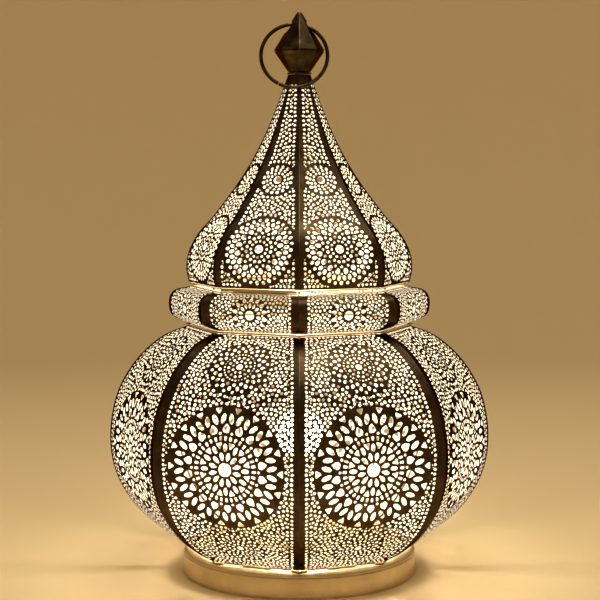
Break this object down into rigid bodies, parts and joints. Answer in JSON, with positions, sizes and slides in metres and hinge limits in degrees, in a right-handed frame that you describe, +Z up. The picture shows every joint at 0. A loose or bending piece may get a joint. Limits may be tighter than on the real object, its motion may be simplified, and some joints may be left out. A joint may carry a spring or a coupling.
{
  "type": "moroccan metal lantern",
  "caption": "Eight-sided pierced metal table lantern: round base, bulging body, half-round collar, lift-off ogee roof, drilled finial with ring handle, bulb inside.",
  "frame": {"origin": "centre of the underside of the round base, on the surface it stands on", "axes": "+Z up along the lantern's axis; -Y is the front, where one seam of the octagon faces; corners of the octagon lie on X, Y and the diagonals"},
  "size_m": [0.246, 0.246, 0.36],
  "materials": {
    "pierced_brass": "pierced sheet with an aged brown-gold patina",
    "satin_brass": "satin, lightly brushed",
    "dark_brass": "darkened, polished on the edges",
    "zinc_steel": "zinc plated",
    "black_plastic": "fine moulded texture",
    "white_ceramic": "unglazed ceramic",
    "contact_brass": "bare",
    "clear_glass": "clear, lit from inside by the filament"
  },
  "bodies": {
    "root": {"base_skirt": "satin_brass", "base_plate": "satin_brass", "cable_grommet": "black_plastic", "body_foot_rim": "satin_brass", "body_top_rim": "satin_brass", "collar_top_rim": "satin_brass", "body_panel_1": "pierced_brass", "body_panel_2": "pierced_brass", "body_panel_3": "pierced_brass", "body_panel_4": "pierced_brass", "body_panel_5": "pierced_brass", "body_panel_6": "pierced_brass", "body_panel_7": "pierced_brass", "body_panel_8": "pierced_brass", "collar_panel_1": "pierced_brass", "collar_panel_2": "pierced_brass", "collar_panel_3": "pierced_brass", "collar_panel_4": "pierced_brass", "collar_panel_5": "pierced_brass", "collar_panel_6": "pierced_brass", "collar_panel_7": "pierced_brass", "collar_panel_8": "pierced_brass", "lamp_nipple": "zinc_steel", "nipple_nut": "zinc_steel", "lampholder_cup": "white_ceramic", "lampholder_shell": "white_ceramic", "lampholder_insert": "white_ceramic", "lampholder_sleeve": "contact_brass", "lampholder_contact": "contact_brass"},
    "roof": {"roof_rim": "satin_brass", "roof_panel_1": "pierced_brass", "roof_panel_2": "pierced_brass", "roof_panel_3": "pierced_brass", "roof_panel_4": "pierced_brass", "roof_panel_5": "pierced_brass", "roof_panel_6": "pierced_brass", "roof_panel_7": "pierced_brass", "roof_panel_8": "pierced_brass", "roof_crown": "dark_brass", "finial_lower": "dark_brass", "finial_upper": "dark_brass", "finial_stud": "zinc_steel", "finial_nut": "zinc_steel"},
    "ring": {"ring_handle": "dark_brass"},
    "bulb": {"bulb_tip": "contact_brass", "bulb_cap": "contact_brass", "bulb_glass": "clear_glass", "bulb_stem": "clear_glass", "bulb_filament": "zinc_steel"}
  },
  "joints": [
    {"name": "roof_lift", "type": "slide", "parent": "root", "child": "roof", "axis": [0, 0, 1], "range_m": [0, 0.12]},
    {"name": "ring_swing", "type": "hinge", "parent": "roof", "child": "ring", "pos_m": [0, 0, 0.35045], "axis": [-1, 0, 0], "range_deg": [0, 325]},
    {"name": "bulb_unscrew", "type": "slide", "parent": "root", "child": "bulb", "axis": [0, 0, 1], "range_m": [0, 0.024]}
  ]
}
